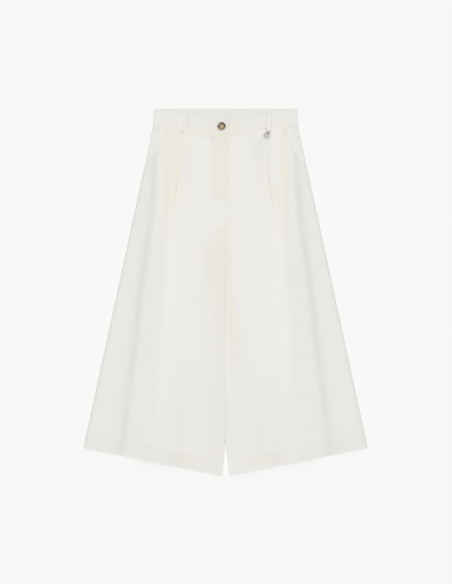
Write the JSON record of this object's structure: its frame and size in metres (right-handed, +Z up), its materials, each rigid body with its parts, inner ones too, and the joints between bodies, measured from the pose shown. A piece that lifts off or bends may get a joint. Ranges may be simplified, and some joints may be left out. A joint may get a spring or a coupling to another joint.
{
  "type": "wide-leg culottes laid flat",
  "caption": "Ivory wide-leg culottes laid flat, with front pleats, slant pockets, a fly, belt loops, a horn button and a small hanging charm.",
  "frame": {"origin": "on the surface the garment lies on, under the middle of its outline", "axes": "+Y towards the waist, +X towards the wearer's left leg, +Z up out of the front"},
  "size_m": [0.6646, 0.8584, 0.0144],
  "materials": {
    "ivory_cloth": "matt ivory woven cloth with a fine slub",
    "pocketing": "matt light cotton pocketing",
    "zip_tape": "matt woven zip tape",
    "zip_metal": "ivory lacquer",
    "horn": "mottled brown horn, polished",
    "thread": "ivory sewing thread",
    "charm_metal": "aged silver, satin"
  },
  "bodies": {
    "garment": {"front_right": "ivory_cloth", "front_left": "ivory_cloth", "back_right": "ivory_cloth", "back_left": "ivory_cloth", "hip_yoke_right": "ivory_cloth", "hip_yoke_left": "ivory_cloth", "pocket_bag_right": "pocketing", "pocket_bag_left": "pocketing", "waistband_front_right": "ivory_cloth", "waistband_front_left": "ivory_cloth", "waistband_back_right": "ivory_cloth", "waistband_back_left": "ivory_cloth", "belt_loop_front_right": "ivory_cloth", "belt_loop_front_left": "ivory_cloth", "belt_loop_back_right": "ivory_cloth", "belt_loop_back_left": "ivory_cloth", "belt_loop_back_centre": "ivory_cloth", "fly_facing": "ivory_cloth", "fly_shield": "ivory_cloth", "fly_zip": "zip_tape", "zip_slider": "zip_metal", "button": "horn", "button_thread": "thread", "charm_thread": "thread"},
    "charm": {"charm": "charm_metal"}
  },
  "joints": [
    {"name": "charm_swing", "type": "hinge", "parent": "garment", "child": "charm", "pos_m": [0.10161, 0.37458, 0.00822], "axis": [-0.7986, 0.6018, 0], "range_deg": [0, 110]}
  ]
}
